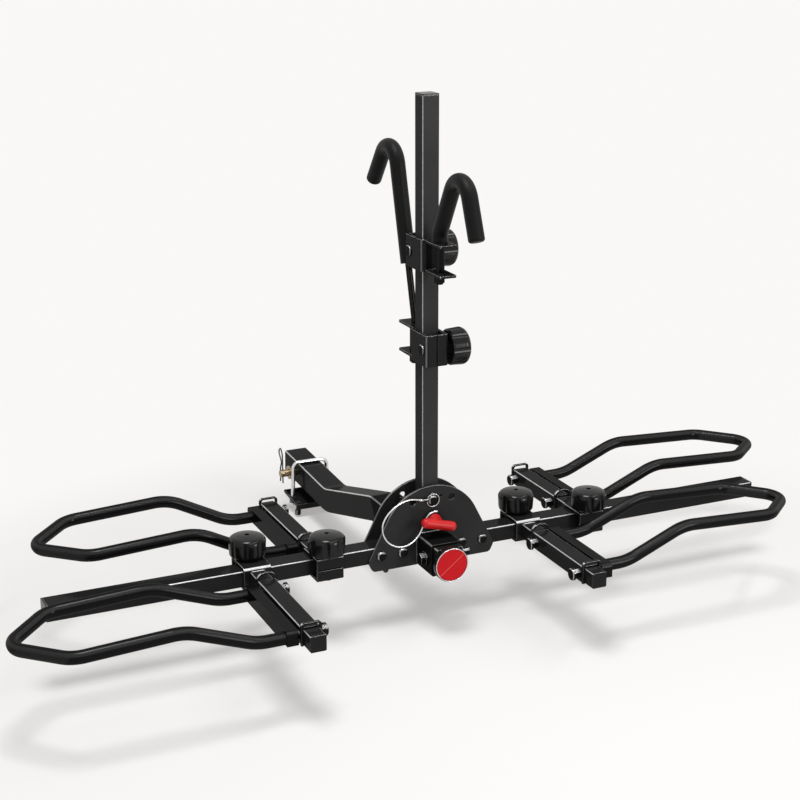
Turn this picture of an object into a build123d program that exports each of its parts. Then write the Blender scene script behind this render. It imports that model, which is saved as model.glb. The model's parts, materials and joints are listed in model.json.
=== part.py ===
from build123d import *
import os
from math import atan, cos, degrees, pi, radians, sin, tan

# Hitch bike rack for two bikes, in millimetres.
# It is drawn about the beam's centre: +X right along the beam, +Y toward the vehicle, +Z up.
# Everything is moved on export, so that the hitch pin crosses the shank's axis at the origin.

# Driving sizes
SHANK = 50.0
BEAM_DEEP = 40.0
BEAM_HIGH = 30.0
BEAM_END = 700.0
MAST = 32.0
MAST_TOP = 811.0
PIVOT_HIGH = 92.0
ARM = 28.0
HOOP_TUBE = 22.0
UPPER_CLAMP_HIGH = 540.0
LOWER_CLAMP_HIGH = 374.0
HITCH_PIN = 15.88

# The four wheel holders. From the beam's centre: the place along the beam, the arm's end, the rail's
# end on the arm, and the hoop's middle. Of the hoop: its span between legs, its reach from the arm and
# its rise.
FRONT_OUTER = {"along": -335.0, "arm": 310.0, "rail": 276.0, "middle": 177.0, "span": 182.0, "reach": 452.0, "rise": 43.0}
REAR_INNER = {"along": -206.0, "arm": 284.0, "rail": 274.0, "middle": 163.5, "span": 180.0, "reach": 467.0, "rise": 61.0}
FRONT_INNER = {"along": 198.0, "arm": 281.0, "rail": 251.0, "middle": 150.5, "span": 154.0, "reach": 466.0, "rise": 48.0}
REAR_OUTER = {"along": 324.0, "arm": 247.0, "rail": 240.0, "middle": 143.5, "span": 152.0, "reach": 474.0, "rise": 49.0}

# Stock and fits shared by many pieces
PLATE = 5.0
STRAP = 5.5
TUBE_WALL = 2.5
THIN_SHEET = 2.0
SLIDE_GAP = 0.5
BODY_GAP = 0.3
RUNNING_FIT = 0.06
BOLT = 10.0
BOLT_HOLE = 10.5
SMALL_BOLT = 8.0
SMALL_HOLE = 8.4

# Sizes that follow
BEAM_Y = BEAM_DEEP / 2
BEAM_Z = BEAM_HIGH / 2
MAST_HALF = MAST / 2
PLATE_IN = BEAM_Y
PLATE_OUT = BEAM_Y + PLATE
SHANK_HALF = SHANK / 2
SLEEVE_WALL = 4.5
SLEEVE_HALF = SHANK_HALF + SLIDE_GAP + SLEEVE_WALL
SHANK_BENDS = ((0, -98.0, 0), (0, 200.0, 0), (0, 440.0, -66.6), (0, 671.0, -54.5))
RECEIVER_TILT = degrees(atan((SHANK_BENDS[3][2] - SHANK_BENDS[2][2]) / (SHANK_BENDS[3][1] - SHANK_BENDS[2][1])))
HITCH_Y = 608.0
HITCH_Z = SHANK_BENDS[2][2] + (HITCH_Y - SHANK_BENDS[2][1]) * tan(radians(RECEIVER_TILT))
PINCH_BOLT_Y = max(BEAM_Y, MAST_HALF) + BOLT / 2 + 1.5
PINCH_FACE_Y = PINCH_BOLT_Y + 15.5
CROSS_BOLT = 12.7
CROSS_BOLT_FRONT = -57.0
CROSS_BOLT_REAR = 100.0
CROSS_BOLT_Z = -4.0
SLEEVE_FRONT = -84.0
SLEEVE_REAR = 188.0
KNOB_RADIUS = 33.5
KNOB_BOSS_HIGH = 4.0
KNOB_HIGH = 42.0
CLIP_WIRE = 3.0
CLIP_X = -54.0

os.makedirs("parts", exist_ok=True)


def save(name, *solids):
    """Write one node, moved so that the hitch pin's centre is the origin."""
    pieces = []
    for solid in solids:
        pieces.extend(solid.solids())
    moved = [Pos(0, -HITCH_Y, -HITCH_Z) * piece for piece in pieces]
    node = moved[0] if len(moved) == 1 else Compound(children=moved)
    node.label = name
    export_step(node, f"parts/{name}.step")


def span_box(x, y, z):
    """A box given by its low and high side along each axis."""
    size = [high - low for low, high in (x, y, z)]
    middle = [(high + low) / 2 for low, high in (x, y, z)]
    return Pos(*middle) * Box(*size)


def round_bar(axis, radius, start, end, a=0.0, b=0.0):
    """A cylinder along one axis from start to end; a and b place it on the other two axes."""
    middle = (start + end) / 2
    upright = Cylinder(radius, abs(end - start))
    if axis == "x":
        return Pos(middle, a, b) * Rot(0, 90, 0) * upright
    if axis == "y":
        return Pos(a, middle, b) * Rot(90, 0, 0) * upright
    return Pos(a, b, middle) * upright


def hex_bar(axis, across, start, end, a=0.0, b=0.0):
    """A hexagonal prism, used for bolt heads and nuts."""
    middle = (start + end) / 2
    outline = RegularPolygon(across / 2, 6, major_radius=False)
    upright = Pos(0, 0, -abs(end - start) / 2) * extrude(outline, abs(end - start))
    if axis == "x":
        return Pos(middle, a, b) * Rot(0, 90, 0) * upright
    if axis == "y":
        return Pos(a, middle, b) * Rot(90, 0, 0) * upright
    return Pos(a, b, middle) * upright


def square_tube(axis, wide, high, wall, start, end, corner=3.0):
    """A straight tube with rounded corners, open at both ends and centred on the axis."""
    outline = RectangleRounded(wide, high, corner)
    outline -= RectangleRounded(wide - 2 * wall, high - 2 * wall, max(corner - wall, 0.5))
    tube = extrude(outline, end - start)
    if axis == "x":
        return Pos(start, 0, 0) * Rot(0, 90, 0) * tube
    if axis == "y":
        return Pos(0, end, 0) * Rot(90, 0, 0) * tube
    return Pos(0, 0, start) * tube


def along(path, outline):
    """Sweep an outline, drawn at the path's start, along the path."""
    start = Plane(origin=path @ 0, x_dir=(1, 0, 0) if abs((path % 0).X) < 0.9 else (0, 1, 0), z_dir=path % 0)
    return sweep(start * outline, path=path)


def turned(outline):
    """Revolve a half profile drawn in X and Z round the Z axis."""
    return revolve(outline, Axis.Z)


def profile_yz(*points):
    """A filled outline in the YZ plane."""
    return make_face(Polyline(*[(0, y, z) for y, z in points], close=True))


# Shank and its end


def shank():
    path = FilletPolyline(*SHANK_BENDS, radius=[60, 110])
    inside = SHANK - 2 * SHANK_WALL
    outline = RectangleRounded(SHANK, SHANK, 4) - RectangleRounded(inside, inside, 1)
    tube = along(path, outline)
    tube -= round_bar("x", HITCH_PIN / 2 + 0.36, -SHANK, SHANK, HITCH_Y, HITCH_Z)
    for y in (CROSS_BOLT_FRONT, CROSS_BOLT_REAR):
        tube -= round_bar("x", CROSS_BOLT / 2 + 0.2, -SHANK, SHANK, y, CROSS_BOLT_Z)
    return tube


SHANK_WALL = 5.0
SHANK_END = SHANK_BENDS[0][1]
REFLECTOR_RADIUS = 32.5
REFLECTOR_Z = -3.5
REFLECTOR_RIM = 2.5


def reflector_cup():
    rim = round_bar("y", REFLECTOR_RADIUS, SHANK_END - 8, SHANK_END, 0, REFLECTOR_Z)
    rim -= round_bar("y", REFLECTOR_RADIUS - REFLECTOR_RIM, SHANK_END - 9, SHANK_END - 2.5, 0, REFLECTOR_Z)
    half = SHANK_HALF - SHANK_WALL - SLIDE_GAP
    plug = span_box((-half, half), (SHANK_END - 2.5, SHANK_END + 14), (-half, half))
    return fillet(rim.faces().sort_by(Axis.Y)[0].edges(), 0.8) + plug


def reflector_lens():
    radius = REFLECTOR_RADIUS - REFLECTOR_RIM
    lens = round_bar("y", radius, SHANK_END - 9, SHANK_END - 2.5, 0, REFLECTOR_Z)
    return fillet(lens.faces().sort_by(Axis.Y)[0].edges(), 2)


# Sleeve that carries the beam and is bolted to the shank


def sleeve():
    tube = square_tube("y", 2 * SLEEVE_HALF, 2 * SLEEVE_HALF, SLEEVE_WALL, SLEEVE_FRONT, SLEEVE_REAR, 5)
    slant = profile_yz(
        (SLEEVE_REAR, SLEEVE_HALF - 5), (SLEEVE_REAR + 12, SLEEVE_HALF - 5), (SLEEVE_REAR + 12, -SLEEVE_HALF - 9),
        (SLEEVE_REAR - 35, -SLEEVE_HALF - 9), (SLEEVE_REAR - 33, -SLEEVE_HALF),
    )
    tube -= extrude(slant, SLEEVE_HALF + 10, dir=(1, 0, 0), both=True)
    for y in (CROSS_BOLT_FRONT, CROSS_BOLT_REAR):
        tube -= round_bar("x", CROSS_BOLT / 2 + 0.2, -SLEEVE_HALF - 1, SLEEVE_HALF + 1, y, CROSS_BOLT_Z)
    return tube


def sleeve_bolt(y):
    bolt = round_bar("x", CROSS_BOLT / 2, -SLEEVE_HALF - 3, SLEEVE_HALF + 27, y, CROSS_BOLT_Z)
    return bolt + hex_bar("x", 1.5 * CROSS_BOLT, -SLEEVE_HALF - 11, -SLEEVE_HALF - 3, y, CROSS_BOLT_Z)


def sleeve_nut(y, side):
    face = SLEEVE_HALF * side
    washer = round_bar("x", 1.02 * CROSS_BOLT, face, face + 3 * side, y, CROSS_BOLT_Z)
    hole = round_bar("x", CROSS_BOLT / 2, -2 * SLEEVE_HALF, 2 * SLEEVE_HALF, y, CROSS_BOLT_Z)
    if side < 0:
        return washer - hole
    nut = hex_bar("x", 1.5 * CROSS_BOLT, face + 3, face + 14, y, CROSS_BOLT_Z)
    return washer + nut - hole


# Half-moon plates, beam and mast

PLATE_TOP = 119.0
PLATE_ROUND = 96.7
PLATE_WAIST = (86.1, 66.2)
PLATE_HIP = (125.5, -11.0)
PLATE_FOOT = 117.0
PLATE_LOW = -28.6
LOCK_DROP = 38.5
LOCK_HIGH = PIVOT_HIGH - LOCK_DROP
LOCK_PIN = 12.0
BEAM_BOLTS = (-101.0, -59.0, 59.0, 101.0)


def moon_plate(front):
    low, high = (-PLATE_OUT, -PLATE_IN) if front else (PLATE_IN, PLATE_OUT)
    right = [(PLATE_WAIST[0], 0, PLATE_WAIST[1]), (PLATE_HIP[0], 0, PLATE_HIP[1]), (PLATE_FOOT, 0, PLATE_LOW)]
    left = [(-x, y, z) for x, y, z in reversed(right)]
    outline = Polyline(*right, *left) + ThreePointArc(left[-1], (0, 0, PLATE_TOP), right[0])
    plate = Pos(0, high, 0) * extrude(make_face(outline), PLATE, dir=(0, -1, 0))
    corners = plate.edges().filter_by(Axis.Y).filter_by(lambda edge: abs(edge.center().X) > PLATE_WAIST[0] + 5)
    plate = fillet(corners, 9)
    plate = chamfer(plate.faces().filter_by(Axis.Y).edges(), 0.6)
    plate -= span_box((-SLEEVE_HALF, SLEEVE_HALF), (low, high), (2 * PLATE_LOW, SLEEVE_HALF))
    for x in BEAM_BOLTS:
        plate -= round_bar("y", BOLT_HOLE / 2, low, high, x, 0)
    plate -= round_bar("y", BOLT_HOLE / 2, low, high, 0, PIVOT_HIGH)
    for x, z in ((-LOCK_DROP, PIVOT_HIGH), (LOCK_DROP, PIVOT_HIGH), (0, LOCK_HIGH)):
        plate -= round_bar("y", LOCK_PIN / 2 + BODY_GAP, low, high, x, z)
    if front:
        plate -= round_bar("y", 3, low, high, 17, PIVOT_HIGH + 5)
        plate += round_bar("y", 5, low, high, 25 - PLATE_FOOT, PLATE_LOW)
    return plate


def beam(side):
    tube = square_tube("x", BEAM_HIGH, BEAM_DEEP, 3, SLEEVE_HALF, BEAM_END, 3)
    for x in BEAM_BOLTS[2:]:
        tube -= round_bar("y", BOLT_HOLE / 2, -30, 30, x, 0)
    return tube if side > 0 else mirror(tube, Plane.YZ)


def beam_cap(side):
    head = span_box((BEAM_END, BEAM_END + 3), (-BEAM_Y, BEAM_Y), (-BEAM_Z, BEAM_Z))
    head = fillet(head.edges().filter_by(Axis.X), 3)
    plug = span_box((BEAM_END - 15, BEAM_END), (4 - BEAM_Y, BEAM_Y - 4), (4 - BEAM_Z, BEAM_Z - 4))
    cap = head + plug
    return cap if side > 0 else mirror(cap, Plane.YZ)


def plate_bolt(x, z):
    """A round-headed bolt through both plates, its head toward the rider."""
    bolt = round_bar("y", BOLT / 2, -PLATE_OUT, PLATE_OUT + 14, x, z)
    head = round_bar("y", 0.9 * BOLT, -PLATE_OUT - 5.5, -PLATE_OUT, x, z)
    head = fillet(head.faces().sort_by(Axis.Y)[0].edges(), 4.8)
    return bolt + head


def plate_nut(x, z):
    nut = hex_bar("y", 17, PLATE_OUT + 2, PLATE_OUT + 11, x, z)
    washer = round_bar("y", 10, PLATE_OUT, PLATE_OUT + 2, x, z)
    return nut + washer - round_bar("y", BOLT / 2, 0, 60, x, z)


def pivot_bolt():
    """The mast's pivot has a spacer on each side of the mast and carries the lanyard's eye."""
    bolt = plate_bolt(0, PIVOT_HIGH)
    flange = round_bar("y", 1.1 * BOLT, -PLATE_OUT - 2, -PLATE_OUT, 0, PIVOT_HIGH)
    bolt += chamfer(flange.faces().sort_by(Axis.Y)[0].edges(), 0.6)
    collar = round_bar("y", 9, MAST_HALF + BODY_GAP, PLATE_IN, 0, PIVOT_HIGH)
    collar -= round_bar("y", BOLT / 2, 0, 40, 0, PIVOT_HIGH)
    eye = round_bar("x", 3, -20, -11, -PLATE_OUT - 5.5, PIVOT_HIGH + 3)
    return bolt + collar + mirror(collar, Plane.XZ) + eye


def mast():
    tube = square_tube("z", MAST, MAST, TUBE_WALL, LOCK_HIGH - 18, MAST_TOP, 3)
    tube -= round_bar("y", BOLT / 2 + RUNNING_FIT, -30, 30, 0, PIVOT_HIGH)
    bush = round_bar("y", BOLT / 2 + 3, -MAST_HALF, MAST_HALF, 0, PIVOT_HIGH)
    bush -= round_bar("y", BOLT / 2 + RUNNING_FIT, -30, 30, 0, PIVOT_HIGH)
    tube -= round_bar("y", LOCK_PIN / 2 + BODY_GAP, -30, 30, 0, LOCK_HIGH)
    return tube + bush


def mast_cap():
    head = span_box((-MAST_HALF, MAST_HALF), (-MAST_HALF, MAST_HALF), (MAST_TOP, MAST_TOP + 3))
    head = fillet(head.edges().filter_by(Axis.Z), 3)
    head = fillet(head.faces().sort_by(Axis.Z)[-1].edges(), 1)
    inside = MAST_HALF - TUBE_WALL - 0.5
    return head + span_box((-inside, inside), (-inside, inside), (MAST_TOP - 15, MAST_TOP))


# Lock pin of the mast, with its red handle and the lanyard

HANDLE_Y = -52.0
HANDLE_LENGTH = 70.0
HANDLE_RADIUS = 9.0
HUB_REAR = -33.5
PIN_TIP = -20.5


def lock_pin():
    pin = round_bar("y", LOCK_PIN / 2, HUB_REAR - 4, PIN_TIP, 0, LOCK_HIGH)
    return chamfer(pin.faces().sort_by(Axis.Y)[-1].edges(), 1.5)


def lock_handle():
    half = HANDLE_LENGTH / 2
    bar = round_bar("x", HANDLE_RADIUS, -half, half)
    ends = bar.edges().filter_by(GeomType.CIRCLE)
    bar = fillet(ends, HANDLE_RADIUS - 0.2)
    bar = Pos(0, HANDLE_Y, LOCK_HIGH) * Rot(0, 15, 0) * bar
    hub = Cone(14, 8, HUB_REAR - HANDLE_Y)
    hub = Pos(0, (HUB_REAR + HANDLE_Y) / 2, LOCK_HIGH) * Rot(90, 0, 0) * hub
    return bar + hub - round_bar("y", LOCK_PIN / 2, HUB_REAR - 4, 0, 0, LOCK_HIGH)


LANYARD = 3.0
LANYARD_ROUTE = (
    (-20.8, -30.5, 95.2),
    (-44, -33, 104),
    (-72, -37, 99),
    (-96, -39, 83),
    (-108, -41, 60),
    (-99, -42, 33),
    (-76, -42, 18),
    (-50, -41, 19),
    (-30, -36, 34),
    (-19, -32, 54),
    (-9, -31, 71),
    (7, -31, 71),
)


def corner_radii(route):
    """The largest bends that leave a short straight piece between two corners."""
    radii = []
    for before, here, after in zip(route, route[1:], route[2:]):
        into = Vector(*here) - Vector(*before)
        out = Vector(*after) - Vector(*here)
        half_turn = radians(into.get_angle(out)) / 2
        radii.append(0.45 * min(into.length, out.length) / tan(half_turn))
    return radii


def lanyard():
    radii = corner_radii(LANYARD_ROUTE)
    print("lanyard bend radii", [round(radius, 1) for radius in radii])
    path = FilletPolyline(*LANYARD_ROUTE, radius=radii)
    cord = along(path, Circle(LANYARD / 2))
    print("lanyard length", round(path.length, 1), "volume share", round(cord.volume / (pi * 2.25 * path.length), 4))
    return cord


# Knob, drawn upright with the bottom of its boss on the XY plane


def knob():
    top = KNOB_HIGH
    rim = KNOB_RADIUS
    side_top = KNOB_BOSS_HIGH + 24
    outline = Polyline(
        (0, 0, 0), (0.42 * rim, 0, 0), (0.42 * rim, 0, KNOB_BOSS_HIGH), (rim - 3.5, 0, KNOB_BOSS_HIGH),
        (rim - 1.2, 0, KNOB_BOSS_HIGH + 3), (rim, 0, side_top),
    )
    shoulder = ThreePointArc((rim, 0, side_top), (rim - 2.4, 0, top - 6.5), (rim - 10, 0, top - 2.4))
    crown = ThreePointArc((rim - 10, 0, top - 2.4), (rim / 3, 0, top - 0.6), (0, 0, top))
    body = turned(make_face(outline + shoulder + crown + Line((0, 0, top), (0, 0, 0))))
    for turn in range(8):
        angle = radians(22.5 + 45 * turn)
        flute = Cylinder(9, top - 4, align=(Align.CENTER, Align.CENTER, Align.MIN))
        body -= Pos((rim + 5.6) * cos(angle), (rim + 5.6) * sin(angle), 0) * flute
    body -= round_bar("z", BOLT / 2 + RUNNING_FIT, -1, top - 8)
    return body - round_bar("z", 4.2, top - 10, top + 1)


# Wheel holder, drawn with its arm toward -Y and its hoop toward -X, centred on the arm

CLAMP_WIDE = 50.0
CLAMP_HIGH = BEAM_Z + SLIDE_GAP + STRAP
CLAMP_BACK = BEAM_Y + SLIDE_GAP + STRAP
CHANNEL_HALF = ARM / 2 + 0.1 + THIN_SHEET
CHANNEL_TOP = ARM / 2 + 0.1 + THIN_SHEET
CHANNEL_START = 72.0
TRAY_NEAR = CHANNEL_HALF + 5.5
TRAY_WIDE = 20.0
TRAY_FAR = TRAY_NEAR + TRAY_WIDE
NEAR_BOLT = 86.0


def wheel_clamp():
    """A strap bent round the beam, pinched shut on the side away from the arm."""
    strap = span_box((-CLAMP_WIDE / 2, CLAMP_WIDE / 2), (-CLAMP_BACK, PINCH_FACE_Y), (-CLAMP_HIGH, CLAMP_HIGH))
    back = strap.edges().filter_by(Axis.X).sort_by(Axis.Y)[:2]
    strap = fillet(back, 7)
    pinch = strap.edges().filter_by(Axis.X).sort_by(Axis.Y)[-2:]
    strap = fillet(pinch, 3)
    strap = chamfer(strap.faces().filter_by(Axis.X).edges(), 0.7)
    hollow_z = BEAM_Z + SLIDE_GAP
    strap -= span_box((-50, 50), (-BEAM_Y - SLIDE_GAP, PINCH_FACE_Y - STRAP), (-hollow_z, hollow_z))
    strap -= span_box((-50, 50), (PINCH_FACE_Y - STRAP - 1, PINCH_FACE_Y + 1), (-1, 1))
    return strap - round_bar("z", BOLT / 2, -30, 30, 0, PINCH_BOLT_Y)


def clamp_bolt(face, stud):
    """A low round head under the strap and a stud up into the knob, along Z."""
    head = round_bar("z", 10, -face - 3, -face)
    head = fillet(head.faces().sort_by(Axis.Z)[0].edges(), 2)
    return head + round_bar("z", BOLT / 2, -face, face + stud)


def bolt_places(rail):
    """The two bolts that join arm, rail and hoop: one near the beam, one by the rail's end."""
    return (NEAR_BOLT, rail - 13)


def arm(reach, rail):
    tube = square_tube("y", ARM, ARM, TUBE_WALL, -reach, -CLAMP_BACK, 2.5)
    inside = ARM / 2 - TUBE_WALL
    tube += span_box((-inside, inside), (-reach, 3 - reach), (-inside, inside))
    for y in bolt_places(rail):
        tube -= round_bar("x", SMALL_HOLE / 2, -ARM, ARM, -y, 0)
    return tube


def arch(start, end, rise, corner):
    """A strip standing across the arm, raised over it with rounded shoulders."""
    half = CHANNEL_HALF + 2
    outer = span_box((-half, half), (start, end), (-ARM / 2, CHANNEL_TOP + rise))
    outer = fillet(outer.edges().filter_by(Axis.Y).sort_by(Axis.Z)[-2:], corner)
    inner_half = CHANNEL_HALF - THIN_SHEET
    opening = span_box((-inner_half, inner_half), (start - 1, end + 1), (-ARM, CHANNEL_TOP + rise - 3))
    return outer - fillet(opening.edges().filter_by(Axis.Y).sort_by(Axis.Z)[-2:], corner - 2)


def channel(rail):
    """A saddle folded over the arm, with a round arch by the beam and a flatter one at its end."""
    outer = span_box((-CHANNEL_HALF, CHANNEL_HALF), (-rail, -CHANNEL_START), (-ARM / 2, CHANNEL_TOP))
    outer = fillet(outer.edges().filter_by(Axis.Y).sort_by(Axis.Z)[-2:], 3)
    inner_half = CHANNEL_HALF - THIN_SHEET
    inner = span_box((-inner_half, inner_half), (-rail - 1, 0), (-ARM / 2 - 1, CHANNEL_TOP - THIN_SHEET))
    saddle = outer - inner + arch(-rail - 5, -rail, 9, 6) + arch(-CHANNEL_START, 5 - CHANNEL_START, 13, 15)
    for y in bolt_places(rail):
        saddle -= round_bar("x", SMALL_HOLE / 2, -2 * CHANNEL_HALF, 2 * CHANNEL_HALF, -y, 0)
    return saddle


def arm_bolt(y):
    """The head is inside the hoop's tray, the capped nut on the other side of the arm."""
    head_face = -TRAY_NEAR - TUBE_WALL
    bolt = round_bar("x", SMALL_BOLT / 2, head_face, CHANNEL_HALF + 8, -y, 0)
    bolt += hex_bar("x", 13, head_face - 5.5, head_face, -y, 0)
    spacer = round_bar("x", 8, -TRAY_NEAR, -CHANNEL_HALF, -y, 0)
    spacer -= round_bar("x", SMALL_BOLT / 2, -2 * TRAY_NEAR, 0, -y, 0)
    nut = hex_bar("x", 15, CHANNEL_HALF, CHANNEL_HALF + 12, -y, 0)
    cap = round_bar("x", 11, CHANNEL_HALF + 11, CHANNEL_HALF + 17, -y, 0)
    cap = fillet(cap.faces().sort_by(Axis.X)[-1].edges(), 3)
    nut = nut + cap - round_bar("x", SMALL_BOLT / 2, 0, CHANNEL_HALF + 8, -y, 0)
    return [bolt, spacer, nut]


def hoop_path(middle, span, reach, rise):
    """One bent tube: low at the arm, raised, then drooping slightly to a blunt nose."""
    half = span / 2
    droop = tan(radians(3))

    def raised(outward, y):
        return (-outward, y, rise - (outward - 205) * droop)

    near = [(-TRAY_FAR, half, 0), (-88, half, 0), raised(205, half), raised(reach - 70, half), raised(reach, 15)]
    far = [(x, -y, z) for x, y, z in reversed(near)]
    route = [(x, y - middle, z) for x, y, z in near + far]
    return FilletPolyline(*route, radius=[100, 100, 45, 34, 34, 45, 100, 100])


def hoop(rail, middle, span, reach, rise):
    ring = Circle(HOOP_TUBE / 2) - Circle(HOOP_TUBE / 2 - THIN_SHEET)
    tube = along(hoop_path(middle, span, reach, rise), ring)
    top = ARM / 2
    start = middle - span / 2 - HOOP_TUBE / 2 - 5
    end = rail + 4
    tray = span_box((-TRAY_FAR, -TRAY_NEAR), (-end, -start), (-HOOP_TUBE / 2, top))
    tray = fillet(tray.edges().filter_by(Axis.X).sort_by(Axis.Z)[-2:], 8)
    inner = span_box(
        (TUBE_WALL - TRAY_FAR, -TRAY_NEAR - TUBE_WALL), (TUBE_WALL - end, -start - TUBE_WALL),
        (-HOOP_TUBE / 2 - 1, top - TUBE_WALL),
    )
    tray -= fillet(inner.edges().filter_by(Axis.X).sort_by(Axis.Z)[-2:], 6)
    for y in bolt_places(rail):
        tray -= round_bar("x", SMALL_HOLE / 2, -TRAY_NEAR - TUBE_WALL - 1, 0, -y, 0)
    return tube + tray


def save_holder(name, size, arm_to_rear, hoop_to_right):
    """Place one wheel holder; the four are turned or mirrored, each with its own reach."""
    lifted = Pos(0, PINCH_BOLT_Y, 0)
    rail = size["rail"]
    bolts = [lifted * clamp_bolt(CLAMP_HIGH, 34)]
    for y in bolt_places(rail):
        bolts.extend(arm_bolt(y))
    nodes = {
        "clamp": [wheel_clamp()],
        "bolts": bolts,
        "arm": [arm(size["arm"], rail)],
        "channel": [channel(rail)],
        "hoop": [hoop(rail, size["middle"], size["span"], size["reach"], size["rise"])],
        "knob": [lifted * Pos(0, 0, CLAMP_HIGH + BODY_GAP) * knob()],
    }
    for part, solids in nodes.items():
        if arm_to_rear != hoop_to_right:
            solids = [mirror(solid, Plane.YZ) for solid in solids]
        turn = Rot(0, 0, 180 if arm_to_rear else 0)
        save(f"{name}_{part}", *[Pos(size["along"], 0, 0) * turn * solid for solid in solids])


# Mast clamp and hook, drawn with the tabs toward -Y and the pinch toward +Y, centred on the mast

MAST_CLAMP_HALF = MAST_HALF + SLIDE_GAP + STRAP
MAST_CLAMP_HIGH = 28.0
TAB = 4.0
TAB_HALF = 16.0
TAB_REACH = 86.0
ROD_Y = 51.0
ROD = 12.0
ROD_FOOT = 17.0
RUBBER = 28.0
UPPER_HOOK = {"lean": 30.0, "tip_lean": 22.0, "knee": (ROD_Y, 44.0), "rubber_from": 28.3, "tip": (190.0, 54.0)}
LOWER_HOOK = {"lean": 15.0, "tip_lean": 37.0, "knee": (ROD_Y, 36.0), "rubber_from": 132.0, "tip": (230.0, 256.0)}


def mast_clamp():
    half = MAST_CLAMP_HALF
    high = MAST_CLAMP_HIGH
    strap = span_box((-half, half), (-half, PINCH_FACE_Y + 1), (-high, high))
    strap = fillet(strap.edges().filter_by(Axis.Z), 6)
    hollow = MAST_HALF + SLIDE_GAP
    strap -= span_box((-hollow, hollow), (-hollow, PINCH_FACE_Y + 1 - STRAP), (-40, 40))
    strap -= span_box((-1.2, 1.2), (PINCH_FACE_Y - STRAP, PINCH_FACE_Y + 2), (-40, 40))
    strap -= round_bar("x", BOLT / 2, -40, 40, PINCH_BOLT_Y, 0)
    web = span_box((-TAB_HALF, TAB_HALF), (-half - 5, -half), (-high, high))
    tabs = span_box((-TAB_HALF, TAB_HALF), (-TAB_REACH, -half), (high - TAB, high))
    tabs = fillet(tabs.edges().filter_by(Axis.Z).sort_by(Axis.Y)[:2], 4)
    tabs += mirror(tabs, Plane.XY)
    tabs -= round_bar("z", ROD / 2 + BODY_GAP, -40, 40, 0, -ROD_Y)
    return strap + web + tabs


def hook_nose(rod_lean, tip_lean, start, tip):
    """Corner where the leaning leg from start meets the falling leg to tip, both in the YZ plane."""
    a = (sin(radians(rod_lean)), cos(radians(rod_lean)))
    b = (sin(radians(tip_lean)), -cos(radians(tip_lean)))
    cross = a[0] * b[1] - a[1] * b[0]
    gap = (tip[0] - start[0], tip[1] - start[1])
    travel = (gap[0] * b[1] - gap[1] * b[0]) / cross
    return (start[0] + travel * a[0], start[1] + travel * a[1])


def hook(lean, tip_lean, knee, rubber_from, tip):
    """Rod and rubber of one hook that leans outward along +Y, above a clamp centred at zero."""
    bend = 36.0
    corner = hook_nose(lean, tip_lean, knee, tip)
    base = (0, ROD_Y, -MAST_CLAMP_HIGH - ROD_FOOT)
    rod_tip = (0, tip[0] - 3 * sin(radians(tip_lean)), tip[1] + 3 * cos(radians(tip_lean)))
    rod_path = FilletPolyline(base, (0, *knee), (0, *corner), rod_tip, radius=[30, bend])
    rod = along(rod_path, Circle(ROD / 2))
    inner = MAST_CLAMP_HIGH - TAB - BODY_GAP
    rod += round_bar("z", 8.5, -inner, inner, 0, ROD_Y)
    rod += hex_bar("z", 17, -MAST_CLAMP_HIGH - ROD_FOOT + 3, -MAST_CLAMP_HIGH - BODY_GAP, 0, ROD_Y)
    if rubber_from > knee[1]:
        share = (rubber_from - knee[1]) / cos(radians(lean))
        first = (0, knee[0] + share * sin(radians(lean)), rubber_from)
        route = [first, (0, *corner), (0, *tip)]
        rubber_path = FilletPolyline(*route, radius=bend)
    else:
        route = [(0, ROD_Y, rubber_from), (0, *knee), (0, *corner), (0, *tip)]
        rubber_path = FilletPolyline(*route, radius=[30, bend])
    rubber = along(rubber_path, Circle(RUBBER / 2))
    end = rubber.faces().filter_by(GeomType.PLANE).sort_by_distance((0, *tip))[0]
    return rod, fillet(end.edges(), 5) - rod


def save_hook(name, height, front, shape):
    """Place one mast clamp with its hook; the knob is on the right for both."""
    turn = Rot(0, 0, 0 if front else 180)
    place = Pos(0, 0, height)
    save(f"{name}_clamp", place * turn * mast_clamp())
    side = 1 if front else -1
    across = Pos(0, side * PINCH_BOLT_Y, height) * Rot(0, 90, 0)
    save(f"{name}_bolt", across * clamp_bolt(MAST_CLAMP_HALF, 34))
    save(f"{name}_knob", across * Pos(0, 0, MAST_CLAMP_HALF + BODY_GAP) * Rot(0, 0, 22.5) * knob())
    rod, rubber = hook(**shape)
    lean_to = Rot(0, 0, 180 if front else 0)
    save(f"{name}_rod", place * lean_to * rod)
    save(f"{name}_rubber", place * lean_to * rubber)


# Hitch pin, its clip and the anti-rattle clamp


def hitch_pin():
    """A bent pin: the straight end takes the clip, the other is bent down on the far side."""
    radius = HITCH_PIN / 2
    bend = SHANK_HALF + 22
    path = FilletPolyline((-61, 0, 0), (bend, 0, 0), (bend, 32, -36), radius=14)
    pin = along(path, Circle(radius))
    pin = fillet(pin.faces().sort_by(Axis.X)[0].edges(), 2.5)
    pin -= round_bar("z", CLIP_WIRE / 2 + RUNNING_FIT, -20, 20, CLIP_X, 0)
    return Pos(0, HITCH_Y, HITCH_Z) * pin


def pin_washer():
    ring = round_bar("x", 14.5, -41, -38.5, HITCH_Y, HITCH_Z)
    return ring - round_bar("x", HITCH_PIN / 2, -60, 0, HITCH_Y, HITCH_Z)


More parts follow.
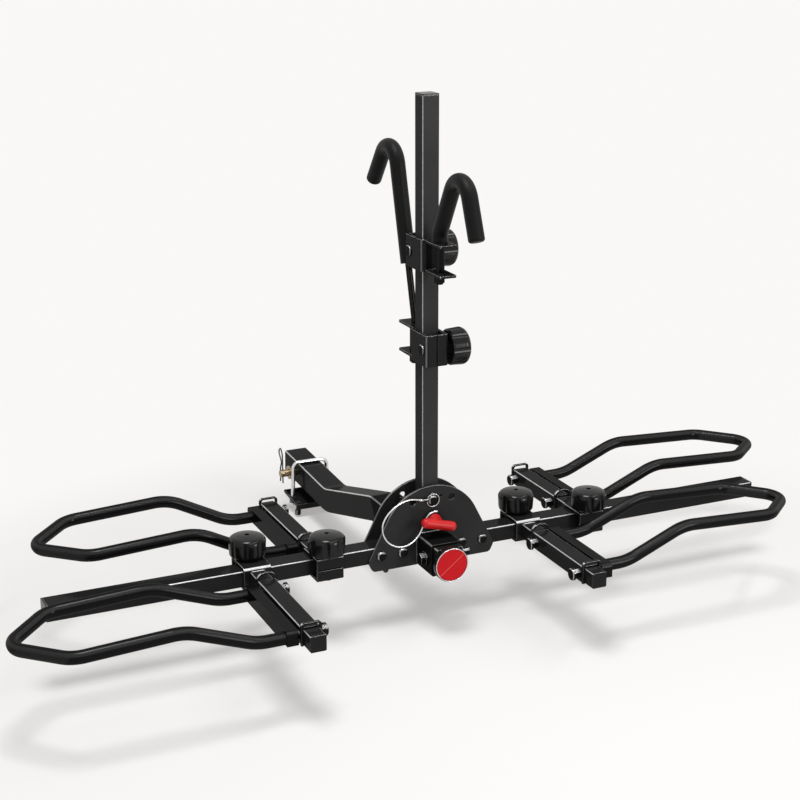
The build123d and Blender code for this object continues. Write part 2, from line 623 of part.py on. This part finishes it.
def r_clip():
    """Spring clip: a straight leg through the pin and a waved leg round its outside."""
    grip = HITCH_PIN / 2 + CLIP_WIRE / 2 + 0.3
    route = [
        (CLIP_X, 0, -22),
        (CLIP_X, 0, 42),
        (CLIP_X, grip, 56),
        (CLIP_X, grip + 13, 44),
        (CLIP_X, 6, 24),
        (CLIP_X, grip + 4.5, 6),
        (CLIP_X, grip + 3, -10),
        (CLIP_X, grip + 6, -22),
    ]
    path = FilletPolyline(*route, radius=[7, 6, 7, 6, 8, 7])
    return Pos(0, HITCH_Y, HITCH_Z) * along(path, Circle(CLIP_WIRE / 2))


RATTLE_ROD = 8.5
RATTLE_LEG = SHANK_HALF + 13
RATTLE_Y = 584.0
RATTLE_PLATE_DROP = SHANK + 28


def receiver_top(y):
    """Height of the shank's top face in the receiver section."""
    axis = HITCH_Z + (y - HITCH_Y) * tan(radians(RECEIVER_TILT))
    return axis + SHANK_HALF / cos(radians(RECEIVER_TILT))


def rattle_place():
    """The clamp's own frame: its bar on the shank's top, its legs leaning back at the bottom."""
    height = receiver_top(RATTLE_Y) + RATTLE_ROD / 2 + BODY_GAP
    return Pos(0, RATTLE_Y, height) * Rot(6, 0, 0)


def u_bolt():
    foot = -RATTLE_PLATE_DROP - 20
    path = FilletPolyline(
        (-RATTLE_LEG, 0, foot), (-RATTLE_LEG, 0, 0), (RATTLE_LEG, 0, 0), (RATTLE_LEG, 0, foot), radius=13
    )
    bar = along(path, Circle(RATTLE_ROD / 2))
    return rattle_place() * bar


def rattle_plate():
    """An angle plate hung under the shank on the two legs."""
    top = -RATTLE_PLATE_DROP
    half = RATTLE_LEG + 7
    flat = span_box((-half, half), (RATTLE_FRONT, 36), (top - PLATE, top))
    lip = span_box((-half, half), (RATTLE_FRONT, RATTLE_FRONT + PLATE), (top - 12, top))
    plate = flat + lip
    for x in (-RATTLE_LEG, RATTLE_LEG):
        plate -= round_bar("z", RATTLE_ROD / 2, top - 30, top + 10, x, 0)
        plate -= round_bar("z", SMALL_BOLT / 2, top - 30, top + 10, x, RATTLE_STUD_Y)
    return rattle_place() * plate


RATTLE_FRONT = -43.0
RATTLE_STUD_Y = RATTLE_FRONT + PLATE + 7


def rattle_stud(x):
    """A short bolt through the plate's front corner, with its head hanging below the lip."""
    top = -RATTLE_PLATE_DROP
    stud = round_bar("z", SMALL_BOLT / 2, top - 22, top, x, RATTLE_STUD_Y)
    return rattle_place() * (stud + hex_bar("z", 12, top - 28, top - 19, x, RATTLE_STUD_Y))


def rattle_nut(x):
    top = -RATTLE_PLATE_DROP - PLATE
    nut = hex_bar("z", 13, top - 9, top, x, 0) - round_bar("z", RATTLE_ROD / 2, top - 30, top, x, 0)
    return rattle_place() * nut


save("shank", shank())
save("reflector_cup", reflector_cup())
save("reflector_lens", reflector_lens())
save("sleeve", sleeve())
save("sleeve_bolts", sleeve_bolt(CROSS_BOLT_FRONT), sleeve_bolt(CROSS_BOLT_REAR))
save("sleeve_nuts", *[sleeve_nut(y, side) for y in (CROSS_BOLT_FRONT, CROSS_BOLT_REAR) for side in (-1, 1)])
save("front_plate", moon_plate(True))
save("rear_plate", moon_plate(False))
save("beam_left", beam(-1))
save("beam_right", beam(1))
save("beam_caps", beam_cap(-1), beam_cap(1))
save("plate_bolts", *[plate_bolt(x, 0) for x in BEAM_BOLTS])
save("plate_nuts", *[plate_nut(x, 0) for x in BEAM_BOLTS], plate_nut(0, PIVOT_HIGH))
save("pivot_bolt", pivot_bolt())
save("mast", mast())
save("mast_cap", mast_cap())
save("lock_pin", lock_pin())
save("lock_handle", lock_handle())
save("lanyard", lanyard())
save_holder("front_outer", FRONT_OUTER, False, False)
save_holder("rear_inner", REAR_INNER, True, False)
save_holder("front_inner", FRONT_INNER, False, True)
save_holder("rear_outer", REAR_OUTER, True, True)
save_hook("upper_hook", UPPER_CLAMP_HIGH, True, UPPER_HOOK)
save_hook("lower_hook", LOWER_CLAMP_HIGH, False, LOWER_HOOK)
save("hitch_pin", hitch_pin())
save("pin_washer", pin_washer())
save("r_clip", r_clip())
save("u_bolt", u_bolt())
save("rattle_plate", rattle_plate())
save("rattle_nuts", *[make(x) for make in (rattle_nut, rattle_stud) for x in (-RATTLE_LEG, RATTLE_LEG)])
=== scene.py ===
import json
import math

import bmesh
import bpy
from mathutils import Matrix, Vector


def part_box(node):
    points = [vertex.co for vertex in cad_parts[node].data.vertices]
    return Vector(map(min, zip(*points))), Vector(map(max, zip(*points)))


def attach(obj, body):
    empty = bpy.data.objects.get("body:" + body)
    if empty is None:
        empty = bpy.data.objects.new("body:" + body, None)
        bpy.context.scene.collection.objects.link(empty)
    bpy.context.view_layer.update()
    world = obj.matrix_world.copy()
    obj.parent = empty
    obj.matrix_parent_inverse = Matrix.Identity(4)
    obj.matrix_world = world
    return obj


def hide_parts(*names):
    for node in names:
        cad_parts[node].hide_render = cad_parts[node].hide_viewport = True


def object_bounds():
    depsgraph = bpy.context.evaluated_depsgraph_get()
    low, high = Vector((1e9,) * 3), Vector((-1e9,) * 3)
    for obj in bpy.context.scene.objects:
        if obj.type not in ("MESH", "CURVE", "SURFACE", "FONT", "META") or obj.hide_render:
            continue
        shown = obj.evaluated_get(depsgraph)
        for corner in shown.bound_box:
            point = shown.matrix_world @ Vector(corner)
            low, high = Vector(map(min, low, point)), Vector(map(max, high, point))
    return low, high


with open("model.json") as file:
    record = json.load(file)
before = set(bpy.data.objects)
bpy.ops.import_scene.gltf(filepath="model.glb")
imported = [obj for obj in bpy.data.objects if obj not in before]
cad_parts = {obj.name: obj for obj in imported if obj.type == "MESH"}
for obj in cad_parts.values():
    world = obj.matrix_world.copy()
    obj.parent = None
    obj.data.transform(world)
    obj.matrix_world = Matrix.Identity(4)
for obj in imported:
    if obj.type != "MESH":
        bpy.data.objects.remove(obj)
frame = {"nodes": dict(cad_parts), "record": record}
cad_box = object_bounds()

# Lengths in metres unless a comment says millimetres, angles in degrees.
# The origin is where the hitch pin crosses the shank: ahead of the beam's centre and below it.
HITCH_AHEAD = 0.608
HITCH_BELOW = 0.0578
MM = 0.001


def place(x, y, z):
    """A point given in millimetres from the beam's centre, in the model's own frame."""
    return Vector((x * MM, y * MM - HITCH_AHEAD, z * MM + HITCH_BELOW))


# Shader building


class Value:
    """A number or colour that a shader node gives, with arithmetic that adds nodes."""

    def __init__(self, shader, socket):
        self.shader = shader
        self.socket = socket

    def math(self, operation, *others):
        return self.shader.add("ShaderNodeMath", {"operation": operation}, self, *others)

    def __add__(self, other):
        return self.math("ADD", other)

    def __radd__(self, other):
        return self.math("ADD", other)

    def __sub__(self, other):
        return self.math("SUBTRACT", other)

    def __rsub__(self, other):
        return self.shader.add("ShaderNodeMath", {"operation": "SUBTRACT"}, other, self)

    def __mul__(self, other):
        return self.math("MULTIPLY", other)

    def __rmul__(self, other):
        return self.math("MULTIPLY", other)

    def __truediv__(self, other):
        return self.math("DIVIDE", other)

    def __rtruediv__(self, other):
        return self.shader.add("ShaderNodeMath", {"operation": "DIVIDE"}, other, self)

    def __pow__(self, other):
        return self.math("POWER", other)

    def between(self, low, high):
        """Zero below low, one above high and smooth in between."""
        return self.shader.add(
            "ShaderNodeMapRange", {"interpolation_type": "SMOOTHSTEP"},
            **{"Value": self, "From Min": low, "From Max": high},
        )

    def part(self, name):
        """One of x, y and z of a position."""
        split = self.shader.raw("ShaderNodeSeparateXYZ", {}, self)
        return Value(self.shader, split.outputs[name])


class Shader:
    """The nodes of a material or of the world. Sockets take constants directly and values by link."""

    def __init__(self, owner):
        owner.use_nodes = True
        self.tree = owner.node_tree

    def raw(self, kind, settings, *unnamed, **named):
        node = self.tree.nodes.new(kind)
        for key, setting in settings.items():
            setattr(node, key, setting)
        for index, given in enumerate(unnamed):
            self.feed(node.inputs[index], given)
        for key, given in named.items():
            self.feed(node.inputs[key], given)
        return node

    def add(self, kind, settings, *unnamed, output=0, **named):
        node = self.raw(kind, settings, *unnamed, **named)
        return Value(self, node.outputs[output])

    def feed(self, socket, given):
        if isinstance(given, Value):
            self.tree.links.new(given.socket, socket)
        else:
            socket.default_value = given

    def join(self, one, other):
        """Link an output that is a shader, not a value."""
        self.tree.links.new(one, other)

    def seen_rays(self):
        """One for the rays that show the background: from the camera, off gloss and through glass."""
        rays = self.raw("ShaderNodeLightPath", {})
        names = ("Is Camera Ray", "Is Glossy Ray", "Is Transmission Ray")
        seen = [Value(self, rays.outputs[name]) for name in names]
        return seen[0].math("MAXIMUM", seen[1]).math("MAXIMUM", seen[2])


class Finish(Shader):
    """A surface's material, whose principled shader is set by name."""

    def __init__(self, name):
        self.material = bpy.data.materials.new(name)
        super().__init__(self.material)
        self.main = self.tree.nodes["Principled BSDF"]
        self.out = self.tree.nodes["Material Output"]

    def set(self, **named):
        for key, given in named.items():
            self.feed(self.main.inputs[key.replace("_", " ")], given)
        return self

    def where(self):
        """The point on the surface, in metres in the object's own frame."""
        return self.add("ShaderNodeTexCoord", {}, output="Object")

    def noise(self, size, detail=3.0, roughness=0.5):
        """Cloudy noise whose features are about size metres across."""
        return self.add(
            "ShaderNodeTexNoise", {}, output="Fac",
            **{"Vector": self.where(), "Scale": 1 / size, "Detail": detail, "Roughness": roughness},
        )

    def blend(self, amount, first, second):
        """One colour turning into another."""
        node = self.raw("ShaderNodeMix", {"data_type": "RGBA"}, **{"Factor": amount})
        self.feed(node.inputs[6], first)
        self.feed(node.inputs[7], second)
        return Value(self, node.outputs[2])

    def bump(self, height, depth, over=None):
        """Relief of the given depth in metres, over a rounded normal if one is given."""
        given = {"Height": height, "Distance": depth}
        if over is not None:
            given["Normal"] = over
        return self.set(Normal=self.add("ShaderNodeBump", {}, output="Normal", **given))

    def rounded(self, radius):
        """The surface's direction with sharp edges rounded off to a radius in metres."""
        return self.add("ShaderNodeBevel", {"samples": BEVEL_SAMPLES}, output="Normal", Radius=radius)

    def lit_edges(self, normal, upright):
        """One along rounded edges that face up, and a share along upright edges toward the left front:
        where a painted highlight goes.
        """
        rise = normal.part("Z")
        up = rise.between(0.35, 0.55) * (1 - rise.between(0.84, 0.95))
        left = normal.part("X") * -1
        front = normal.part("Y") * -1
        corner = left.between(0.4, 0.6) * front.between(0.4, 0.6)
        return up.math("MAXIMUM", corner * upright)


# The radius that edges look rounded to, and how finely that is worked out
EDGE_ROUND = 0.0012
BEVEL_SAMPLES = 6


def grey(level):
    return (level, level, level, 1.0)


def powder_coat(name, edges, upright, gloss, level):
    """Satin black powder coat: fine orange peel, slow changes of gloss, dust, and a painted highlight along
    edges that face up or toward the left front.

    The edges and upright give how bright the painted edge highlight is, gloss the clear coat, level the
    base's grey.
    """
    shader = Finish(name)
    peel = shader.noise(0.0011, 2.0)
    drift = shader.noise(0.06, 3.0)
    fine = shader.noise(0.004, 4.0, 0.6)
    dust = (fine.between(0.62, 0.8) * drift.between(0.45, 0.75)) * 0.3
    colour = shader.blend(drift * 0.5 + fine * 0.5, grey(level * 0.75), grey(level * 1.4))
    colour = shader.blend(dust, colour, grey(level * 4))
    turned = shader.rounded(EDGE_ROUND)
    # Painted highlight: rounded edges that face up, and upright ones toward the left front, are painted
    # pale grey and made partly metallic
    edge = shader.lit_edges(turned, upright) * (0.5 + fine * 0.6) * edges
    shader.set(Base_Color=shader.blend(edge, colour, grey(0.7)), Metallic=edge * 0.7)
    shader.set(Roughness=0.27 + drift * 0.07 + fine * 0.04 + dust * 0.4)
    shader.set(Specular_IOR_Level=0.0, Coat_Weight=gloss, Coat_Roughness=0.12)
    return shader.bump(peel, 0.00004, turned).material


def moulded_plastic():
    """Matt black plastic with a fine spark-eroded grain."""
    shader = Finish("moulded_plastic")
    grain = shader.noise(0.0007, 2.0)
    drift = shader.noise(0.03, 3.0)
    shader.set(Base_Color=shader.blend(drift, grey(0.004), grey(0.008)), Roughness=0.3 + drift * 0.1)
    shader.set(Specular_IOR_Level=0.03, Coat_Weight=0.4, Coat_Roughness=0.16)
    return shader.bump(grain, 0.00004).material


def rubber_sleeve():
    """Foam rubber sleeve: open pores, a dull skin and paler rubbed patches."""
    shader = Finish("rubber_sleeve")
    pores = shader.noise(0.0013, 3.0, 0.65)
    drift = shader.noise(0.05, 3.0)
    rubbed = shader.noise(0.018, 4.0, 0.6).between(0.58, 0.75)
    colour = shader.blend(drift, grey(0.003), grey(0.006))
    shader.set(Base_Color=shader.blend(rubbed * 0.4, colour, grey(0.012)), Roughness=0.4 + pores * 0.12)
    shader.set(Specular_IOR_Level=0.11)
    return shader.bump(pores, 0.00007).material


def red_plastic():
    shader = Finish("red_plastic")
    drift = shader.noise(0.02, 3.0)
    grain = shader.noise(0.0008, 2.0)
    shader.set(Base_Color=shader.blend(drift, (0.52, 0.006, 0.008, 1), (0.66, 0.012, 0.012, 1)))
    shader.set(Roughness=0.36 + drift * 0.1, Specular_IOR_Level=0.35)
    return shader.bump(grain, 0.00004).material


# Height of the reflector's middle in millimetres from the beam's centre, slope of the seam, prism cell
LENS_HIGH = -3.5
SEAM_SLOPE = 38.0
CELL = 0.0012


def red_lens():
    """Reflector lens: fine prism cells under a clear face, with the seam of its two halves."""
    shader = Finish("red_lens")
    point = shader.where()
    cells = shader.add(
        "ShaderNodeTexVoronoi", {"feature": "F1"}, output="Distance", Vector=point, Scale=1 / CELL,
    )
    slope = math.radians(SEAM_SLOPE)
    above = point.part("Z") - place(0, 0, LENS_HIGH).z
    across = (above * math.cos(slope) - point.part("X") * math.sin(slope)).math("ABSOLUTE")
    seam = 1 - across.between(0.0003, 0.0009)
    body = shader.blend(cells.between(0.1, 0.7), (0.66, 0.003, 0.010, 1), (0.50, 0.001, 0.006, 1))
    shader.set(Base_Color=shader.blend(seam * 0.55, body, (0.85, 0.22, 0.16, 1)))
    shader.set(Roughness=0.3 + cells * 0.1, Specular_IOR_Level=0.1, Coat_Weight=0.15, Coat_Roughness=0.08)
    return shader.bump(cells * 0.3 + seam, 0.00025).material


def bright_metal(name, colour, roughness, tint=None):
    """Plated steel with fine brushing and slightly uneven plating."""
    shader = Finish(name)
    drift = shader.noise(0.012, 3.0)
    fine = shader.noise(0.0006, 3.0)
    shader.set(Base_Color=shader.blend(drift, colour, tint or colour), Metallic=1.0)
    shader.set(Roughness=roughness + drift * 0.1)
    return shader.bump(fine, 0.000006).material


def black_oxide():
    """Oiled black oxide steel of the bolts, a little browner in places, with a painted highlight along
    edges that face up or toward the left front.
    """
    shader = Finish("black_oxide")
    drift = shader.noise(0.006, 3.0)
    turned = shader.rounded(EDGE_ROUND)
    # Painted highlight: edges that face up or toward the left front are painted pale grey and made partly
    # metallic
    edge = shader.lit_edges(turned, 1.0) * 0.7
    colour = shader.blend(drift, (0.004, 0.004, 0.004, 1), (0.012, 0.011, 0.010, 1))
    shader.set(Base_Color=shader.blend(edge, colour, grey(0.6)), Metallic=edge * 0.7)
    shader.set(Roughness=0.14 + drift * 0.1, Specular_IOR_Level=0.0, Coat_Weight=0.08, Coat_Roughness=0.03)
    return shader.bump(shader.noise(0.0008, 2.0), 0.00002, turned).material


# The black powder coat, then copies of it whose base grey is set lighter (mast, plates) or darker (round
# tubes, sleeve) to paint in the light and shade these parts get; the copies' painted edge highlights are
# stronger or weaker too
coat = powder_coat("powder_coat", 1.0, 0.25, 0.13, 0.014)
round_shaded_coat = powder_coat("round_tube_coat", 0.04, 0.6, 0.16, 0.004)
mast_lit_coat = powder_coat("mast_lit_coat", 1.0, 0.8, 0.02, 0.042)
plate_lit_coat = powder_coat("plate_lit_coat", 0.4, 0.2, 0.09, 0.028)
sleeve_shaded_coat = powder_coat("sleeve_shaded_coat", 0.4, 0.2, 0.04, 0.007)
plastic = moulded_plastic()
rubber = rubber_sleeve()
red = red_plastic()
lens = red_lens()
zinc = bright_metal("bright_zinc", (0.62, 0.62, 0.63, 1), 0.16, (0.74, 0.74, 0.74, 1))
yellow = bright_metal("yellow_zinc", (0.26, 0.20, 0.12, 1), 0.2, (0.36, 0.30, 0.20, 1))
spring = bright_metal("spring_steel", (0.07, 0.07, 0.08, 1), 0.28)
chrome = bright_metal("chrome_rim", (0.75, 0.75, 0.76, 1), 0.12)
cable = bright_metal("steel_cable", (0.62, 0.62, 0.63, 1), 0.25, (0.75, 0.75, 0.75, 1))
oxide = black_oxide()

LOOKS = {
    "black_coat": coat,
    "black_plastic": plastic,
    "black_rubber": rubber,
    "red_plastic": red,
    "red_lens": lens,
    "black_steel": oxide,
    "bright_zinc": zinc,
    "yellow_zinc": yellow,
    "spring_steel": spring,
    "cable": cable,
}

# Nodes that take a lighter or darker copy of the black coat: painted light and shade on these parts
LIT_AND_SHADED_COATS = {"mast": mast_lit_coat, "front_plate": plate_lit_coat, "rear_plate": plate_lit_coat, "sleeve": sleeve_shaded_coat}


def dress_nodes():
    """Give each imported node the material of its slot."""
    for entry in frame["record"]["subparts"]:
        name = entry["node"]
        look = LIT_AND_SHADED_COATS.get(name, LOOKS[entry["material_slot"]])
        # Hoops and hook rods take the darker copy, with almost no painted edge highlight
        if name.endswith(("_hoop", "_rod")):
            look = round_shaded_coat
        materials = frame["nodes"][name].data.materials
        materials.clear()
        materials.append(look)


dress_nodes()

# The lanyard's route, the same points as its solid, in millimetres from the beam's centre
LANYARD_ROUTE = (
    (-20.8, -30.5, 95.2), (-44, -33, 104), (-72, -37, 99), (-96, -39, 83), (-108, -41, 60), (-99, -42, 33),
    (-76, -42, 18), (-50, -41, 19), (-30, -36, 34), (-19, -32, 54), (-9, -31, 71), (7, -31, 71),
)
LANYARD_THICK = 0.003


def lanyard():
    """The cable itself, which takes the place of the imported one."""
    curve = bpy.data.curves.new("lanyard", "CURVE")
    curve.dimensions = "3D"
    curve.bevel_depth = LANYARD_THICK / 2
    curve.bevel_resolution = 6
    curve.use_fill_caps = True
    spline = curve.splines.new("NURBS")
    spline.points.add(len(LANYARD_ROUTE) - 1)
    for point, given in zip(spline.points, LANYARD_ROUTE):
        point.co = (*place(*given), 1)
    spline.order_u = 3
    spline.use_endpoint_u = True
    spline.resolution_u = 12
    cord = bpy.data.objects.new("lanyard_cable", curve)
    bpy.context.collection.objects.link(cord)
    curve.materials.append(cable)
    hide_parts("lanyard")
    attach(cord, "rack")


lanyard()

# Detail pieces


def solid_from(name, build, look, body):
    """Make one detail piece from a function that fills a mesh, and let it ride on a body."""
    shape = bmesh.new()
    build(shape)
    bmesh.ops.recalc_face_normals(shape, faces=shape.faces)
    mesh = bpy.data.meshes.new(name)
    shape.to_mesh(mesh)
    shape.free()
    mesh.shade_smooth()
    mesh.materials.append(look)
    piece = bpy.data.objects.new(name, mesh)
    bpy.context.collection.objects.link(piece)
    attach(piece, body)


def tube_through(shape, points, radius, sides=12, closed=False):
    """A round bar through points in metres, with flat ends, or a closed loop; radius may be a list."""
    rings = []
    count = len(points)
    side = None
    for index, point in enumerate(points):
        before = points[index - 1] if index or closed else point
        after = points[(index + 1) % count] if index < count - 1 or closed else point
        ahead = (after - before).normalized()
        if side is None:
            side = ahead.orthogonal().normalized()
        side = (side - ahead * side.dot(ahead)).normalized()
        up = ahead.cross(side)
        reach = radius[index] if isinstance(radius, list) else radius
        turns = [2 * math.pi * step / sides for step in range(sides)]
        spokes = [(side * math.cos(turn) + up * math.sin(turn)) * reach for turn in turns]
        rings.append([shape.verts.new(point + spoke) for spoke in spokes])
    for index in range(count if closed else count - 1):
        one, two = rings[index], rings[(index + 1) % count]
        for step in range(sides):
            after = (step + 1) % sides
            shape.faces.new((one[step], one[after], two[after], two[step]))
    if not closed:
        shape.faces.new(rings[0])
        shape.faces.new(rings[-1])


def circle(centre, one, two, radius, steps):
    """Points round a circle spanned by two directions, in millimetres from the beam's centre."""
    turns = [2 * math.pi * step / steps for step in range(steps)]
    spokes = [(Vector(one) * math.cos(turn) + Vector(two) * math.sin(turn)) * radius for turn in turns]
    return [place(*(Vector(centre) + spoke)) for spoke in spokes]


# Millimetres, and the directions across and up
RIM_RADIUS = 30.6
RIM_THICK = 1.4
ACROSS = (1, 0, 0)
UP = (0, 0, 1)


def front_of(node):
    """How far toward the rider a node reaches, in millimetres from the beam's centre."""
    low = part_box(node)[0]
    return (low[1] + HITCH_AHEAD) / MM


def reflector_rim():
    """A bright pressed ring that holds the lens in its cup."""
    def build(shape):
        ring = circle((0, front_of("reflector_lens"), LENS_HIGH), ACROSS, UP, RIM_RADIUS, 64)
        tube_through(shape, ring, RIM_THICK / 2 * MM, 10, closed=True)

    solid_from("reflector_rim", build, chrome, "rack")


# The crimped sleeves: length in metres, and their radius in millimetres at shares of that length
CRIMP_LONG = 0.009
CRIMP_SHAPE = ((0.1, 2.0), (0.16, 2.7), (0.5, 2.3), (0.84, 2.7), (0.9, 2.0))

# The eye round the pivot's head: middle, radius, wire and the neck that meets the lanyard, in millimetres
EYE_MIDDLE = (0, -28.0, 92.0)
EYE_RADIUS = 12.0
EYE_WIRE = 1.4
NECK_THICK = 2.8
NECK_POINTS = ((-12.0, -30.0, 95.0), (-16.0, -30.0, 95.0), (-21.0, -30.0, 95.0))


def lanyard_ends():
    """The lanyard's crimped sleeves and its eye round the pivot's head."""
    def build_crimps(shape):
        for end, inner in ((0, 1), (-1, -2)):
            start = place(*LANYARD_ROUTE[end])
            ahead = (place(*LANYARD_ROUTE[inner]) - start).normalized() * CRIMP_LONG
            points = [start + ahead * share for share, radius in CRIMP_SHAPE]
            tube_through(shape, points, [radius * MM for share, radius in CRIMP_SHAPE], 12)

    def build_eye(shape):
        ring = circle(EYE_MIDDLE, ACROSS, UP, EYE_RADIUS, 40)
        tube_through(shape, ring, EYE_WIRE / 2 * MM, 10, closed=True)
        tube_through(shape, [place(*point) for point in NECK_POINTS], NECK_THICK / 2 * MM, 10)

    solid_from("lanyard_crimps", build_crimps, zinc, "rack")
    solid_from("pivot_eye", build_eye, cable, "rack")


# Welds, in millimetres: their radii, one ripple's length and steps, and how far a bead's middle stands off
PLATE_WELD = 2.6
ARM_WELD = 2.2
RIPPLE = 3.2
RIPPLE_STEPS = 4
WELD_OFF = 1.2
PLATE_FACE = 25.0
SLEEVE_SIDE = 30.0
PLATE_WELD_HALF = 24.0
ARM_CORNER = 2.5


def bead(shape, start, end, radius):
    """A weld bead: a row of overlapping ripples from one point to another, in millimetres."""
    first, last = Vector(start), Vector(end)
    steps = max(RIPPLE_STEPS, round((last - first).length / (RIPPLE / RIPPLE_STEPS)))
    points = [place(*first.lerp(last, step / steps)) for step in range(steps + 1)]
    waves = [0.82 + 0.18 * math.sin(2 * math.pi * step / RIPPLE_STEPS) for step in range(steps + 1)]
    waves[0] = waves[-1] = 0.4
    tube_through(shape, points, [radius * MM * wave for wave in waves], sides=8)


def plate_welds():
    """Welds where the plates stand on the sleeve, outside both plates."""
    def build(shape):
        edge = SLEEVE_SIDE + WELD_OFF
        half = PLATE_WELD_HALF
        for y in (-PLATE_FACE - WELD_OFF, PLATE_FACE + WELD_OFF):
            for x in (-edge, edge):
                bead(shape, (x, y, -half), (x, y, half), PLATE_WELD)
            bead(shape, (-half, y, edge), (half, y, edge), PLATE_WELD)

    solid_from("plate_welds", build, coat, "rack")


def arm_welds():
    """The fillet weld that joins each arm to its strap clamp."""
    for name in ("front_outer", "rear_inner", "front_inner", "rear_outer"):
        low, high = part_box(f"{name}_arm")
        left = low[0] / MM + ARM_CORNER
        right = high[0] / MM - ARM_CORNER
        heights = [(value - HITCH_BELOW) / MM for value in (high[2], low[2])]
        front = name.startswith("front")
        y = ((high[1] if front else low[1]) + HITCH_AHEAD) / MM + (-WELD_OFF if front else WELD_OFF)

        def build(shape, left=left, right=right, heights=heights, y=y):
            for height in heights:
                bead(shape, (left, y, height), (right, y, height), ARM_WELD)

        solid_from(f"{name}_weld", build, coat, f"{name}_holder")


reflector_rim()
lanyard_ends()
plate_welds()
arm_welds()

# Studio: floor, lights, background and camera

# The floor: its half width, the gap under the lowest piece, the paper's colour, the share of even tone
# near the object, the distances between which it turns wholly even, and how much more depth counts there
FLOOR_HALF = 14.0
FLOOR_GAP = 0.003
PAPER = (0.956, 0.940, 0.925, 1)
FLOOR_EVEN = 0.36
SHADE_FROM = 0.78
SHADE_TO = 1.25
SHADE_DEEPER = 1.3


def studio_floor():
    """A pale paper floor: it takes the shadow near the object and is even further out."""
    mesh = bpy.data.meshes.new("floor")
    half = FLOOR_HALF
    height = cad_box[0][2] - FLOOR_GAP
    corners = [(-half, -half, height), (half, -half, height), (half, half, height), (-half, half, height)]
    mesh.from_pydata(corners, [], [(0, 1, 2, 3)])
    floor = bpy.data.objects.new("floor", mesh)
    bpy.context.collection.objects.link(floor)
    shader = Finish("studio_floor")
    shader.set(Base_Color=(0.9, 0.885, 0.87, 1), Roughness=0.9, Specular_IOR_Level=0.1)
    point = shader.where()
    x, y = point.part("X"), point.part("Y") + HITCH_AHEAD
    far = (x * x + y * y * SHADE_DEEPER).math("SQRT").between(SHADE_FROM, SHADE_TO)
    paper = shader.raw("ShaderNodeEmission", {}, Color=PAPER, Strength=1.0)
    even = FLOOR_EVEN + far * (1 - FLOOR_EVEN)
    mix = shader.raw("ShaderNodeMixShader", {}, shader.seen_rays() * even)
    shader.join(shader.main.outputs[0], mix.inputs[1])
    shader.join(paper.outputs[0], mix.inputs[2])
    shader.join(mix.outputs[0], shader.out.inputs["Surface"])
    mesh.materials.append(shader.material)


def softbox(name, spot, aim, width, height, power):
    """A rectangular lamp that faces the aim."""
    light = bpy.data.lights.new(name, "AREA")
    light.shape = "RECTANGLE"
    light.size = width
    light.size_y = height
    light.energy = power
    lamp = bpy.data.objects.new(name, light)
    bpy.context.collection.objects.link(lamp)
    lamp.location = spot
    lamp.rotation_euler = (Vector(aim) - Vector(spot)).to_track_quat("-Z", "Y").to_euler()


WORLD_LIGHT = 0.22


def background():
    """An even surround that lights softly and shows the paper's colour."""
    world = bpy.data.worlds.new("studio")
    bpy.context.scene.world = world
    shader = Shader(world)
    shader.tree.nodes.clear()
    out = shader.raw("ShaderNodeOutputWorld", {})
    lit = shader.raw("ShaderNodeBackground", {}, Color=(1, 1, 1, 1), Strength=WORLD_LIGHT)
    paper = shader.raw("ShaderNodeBackground", {}, Color=PAPER, Strength=1.0)
    mix = shader.raw("ShaderNodeMixShader", {}, shader.seen_rays())
    shader.join(lit.outputs[0], mix.inputs[1])
    shader.join(paper.outputs[0], mix.inputs[2])
    shader.join(mix.outputs[0], out.inputs["Surface"])


# The camera that fits the photograph, its aim in millimetres from the beam's centre, lens in millimetres
CAMERA_AZIMUTH = -24.3
CAMERA_ELEVATION = 17.4
CAMERA_ROLL = -0.2
CAMERA_AIM = (-52.0, 0.0, 279.6)
CAMERA_DISTANCE = 2.9115
CAMERA_LENS = 74.25
SENSOR = 36.0
FAR_CLIP = 60.0
PICTURE = 800


def camera():
    """Look at the aim from the photograph's side, at the photograph's distance."""
    lens_data = bpy.data.cameras.new("camera")
    lens_data.lens = CAMERA_LENS
    lens_data.sensor_width = SENSOR
    lens_data.clip_end = FAR_CLIP
    eye = bpy.data.objects.new("camera", lens_data)
    bpy.context.collection.objects.link(eye)
    azimuth = math.radians(CAMERA_AZIMUTH)
    elevation = math.radians(CAMERA_ELEVATION)
    level = math.cos(elevation)
    ahead = Vector((-math.sin(azimuth) * level, math.cos(azimuth) * level, -math.sin(elevation)))
    aim = place(*CAMERA_AIM)
    turn = ahead.to_track_quat("-Z", "Y").to_matrix().to_4x4()
    roll = Matrix.Rotation(math.radians(CAMERA_ROLL), 4, "Z")
    eye.matrix_world = Matrix.Translation(aim - ahead * CAMERA_DISTANCE) @ turn @ roll
    bpy.context.scene.camera = eye


def render_settings():
    scene = bpy.context.scene
    scene.render.resolution_x = PICTURE
    scene.render.resolution_y = PICTURE
    scene.view_settings.view_transform = "Standard"


studio_floor()
softbox("top_box", (-0.55, -0.9, 3.8), (-0.1, -0.7, 0), width=1.3, height=1.3, power=94)
softbox("edge_strip", (0.9, -1.5, 2.5), (0, -0.6, 0.1), width=3.0, height=0.12, power=16)
softbox("left_strip", (-2.5, -2.6, 0.9), (0, -0.6, 0.2), width=0.2, height=1.7, power=2)
softbox("front_box", (1.6, -3.4, 1.0), (0, -0.6, 0.3), width=0.9, height=1.4, power=38)
background()
camera()
render_settings()
